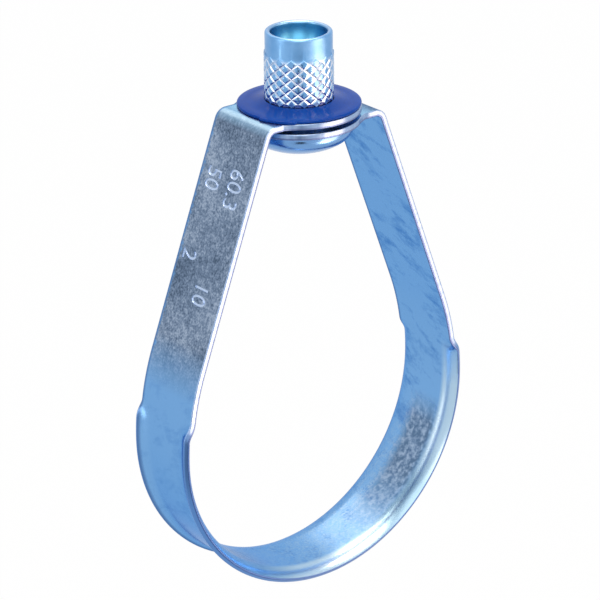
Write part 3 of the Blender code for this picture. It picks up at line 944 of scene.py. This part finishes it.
def makeSurroundings():
    # plain white world and floor, white to sight, and dimmer in the light that they give
    world = bpy.data.worlds.new("studioWhite")
    bpy.context.scene.world = world
    world.use_nodes = True
    tree = world.node_tree
    tree.nodes.clear()
    strength = addNode(tree, "ShaderNodeMapRange", {0: seenRays(tree), 3: studioSet["worldStrength"],
                                                    4: 1.0}).outputs[0]
    glow = addNode(tree, "ShaderNodeBackground", {"Color": (1, 1, 1, 1), "Strength": strength})
    output = tree.nodes.new("ShaderNodeOutputWorld")
    tree.links.new(glow.outputs[0], output.inputs[0])
    deselectAll()
    bpy.ops.mesh.primitive_plane_add(size=studioSet["floorSize"], location=(0, 0, studioSet["floorHeight"]))
    floor = bpy.context.object
    floor.name = "studio_floor"
    applyPlace(floor)
    material, tree, output = newMaterial("whiteFloor")
    paper = addNode(tree, "ShaderNodeBsdfDiffuse",
                    {"Color": linearColour(studioSet["floorPaper"])}).outputs[0]
    glow = addNode(tree, "ShaderNodeEmission", {"Color": (1, 1, 1, 1), "Strength": 1.0}).outputs[0]
    share = addNode(tree, "ShaderNodeMath", {0: seenRays(tree), 1: studioSet["floorGlow"]},
                    operation="MULTIPLY").outputs[0]
    mixed = addNode(tree, "ShaderNodeMixShader", {0: share, 1: paper, 2: glow}).outputs[0]
    tree.links.new(mixed, output.inputs[0])
    floor.data.materials.append(material)


def directionFrom(azimuth, elevation):
    # the way from the object to something at an azimuth and elevation in degrees
    turn, rise = math.radians(azimuth), math.radians(elevation)
    return Vector((math.sin(turn) * math.cos(rise), -math.cos(turn) * math.cos(rise), math.sin(rise)))


def addSoftBox(name, azimuth, elevation, width, height, radiance, colour):
    # an area light facing the object, its brightness given as what a mirror would show
    back = directionFrom(azimuth, elevation)
    lamp = bpy.data.lights.new(name, "AREA")
    lamp.shape = "RECTANGLE"
    lamp.size = width
    lamp.size_y = height
    lamp.energy = radiance * math.pi * width * height
    lamp.color = linearColour(colour)[:3]
    box = bpy.data.objects.new(name, lamp)
    bpy.context.collection.objects.link(box)
    box.location = Vector(studioSet["centre"]) + back * studioSet["boxDistance"]
    box.rotation_euler = back.to_track_quat("Z", "Y").to_euler()
    box.visible_camera = False


def addDarkBoard(name, azimuth, elevation, width, height):
    # a small dark board that only mirrors see, for the dark accents in the curved metal
    back = directionFrom(azimuth, elevation)
    deselectAll()
    bpy.ops.mesh.primitive_plane_add(size=1.0, rotation=back.to_track_quat("Z", "Y").to_euler(),
                                     location=Vector(studioSet["centre"]) + back * studioSet["boardDistance"])
    board = bpy.context.object
    board.scale = (width, height, 1)
    board.name = name
    applyPlace(board)
    material, tree, output = newMaterial("darkBoard")
    shader = addNode(tree, "ShaderNodeEmission", {"Color": linearColour(studioSet["boardColour"]),
                                                  "Strength": 1.0})
    tree.links.new(shader.outputs[0], output.inputs[0])
    board.data.materials.append(material)
    board.visible_camera = False
    board.visible_diffuse = False
    board.visible_shadow = False


cameraSet = {
    "azimuth": -38.22, "elevation": 22.69, "roll": -0.49, "distance": 0.600,
    "lens": 186.887, "sensor": 36.0, "clipStart": 0.01,
    "aside": -0.00016, "above": 0.01994,  # aim, from the ring's middle
}


def placeCamera():
    look = cameraSet
    turn, roll = math.radians(look["azimuth"]), math.radians(look["roll"])
    back = directionFrom(look["azimuth"], look["elevation"])
    right = Vector((math.cos(turn), math.sin(turn), 0))
    up = back.cross(right)
    aim = Vector((0, 0, pipeAxis)) + right * look["aside"] + up * look["above"]
    rolledRight = right * math.cos(roll) + up * math.sin(roll)
    rolledUp = up * math.cos(roll) - right * math.sin(roll)
    camera = bpy.data.objects.new("photoCamera", bpy.data.cameras.new("photoCamera"))
    bpy.context.collection.objects.link(camera)
    camera.data.lens = look["lens"]
    camera.data.sensor_width = look["sensor"]
    camera.data.clip_start = look["clipStart"]
    axes = Matrix((rolledRight, rolledUp, back)).transposed().to_4x4()
    camera.matrix_world = Matrix.Translation(aim + back * look["distance"]) @ axes
    bpy.context.scene.camera = camera


# the hanger put together

print("modelling the band")
finishes = (galvanizedSteel("galvanizedInside", ringDullAndShade), galvanizedSteel("galvanizedOutside", legDullAndShade),
            cutEdgeFinish("shearedEdge", shearedLook), cutEdgeFinish("tornZoneShade", tornShadeLook))
band = formBand(finishes, stampedZinc())
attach(band, "band")
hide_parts("band")

print("modelling the nut")
nut = makeNut()
thread = cutThread()
plate = zincPlate()
for piece in (nut, thread):
    piece.data.materials.append(plate)
    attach(piece, "nut")
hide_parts("insert_nut")

print("modelling the washer")
washer = makeWasher()
washer.data.materials.append(blueGloss())
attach(washer, "nut")
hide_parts("retaining_washer")

print("setting up the studio")
bpy.context.scene.view_settings.view_transform = "Standard"
makeSurroundings()
for box in studioSet["boxes"]:
    addSoftBox(*box)
addDarkBoard(*studioSet["board"])
placeCamera()
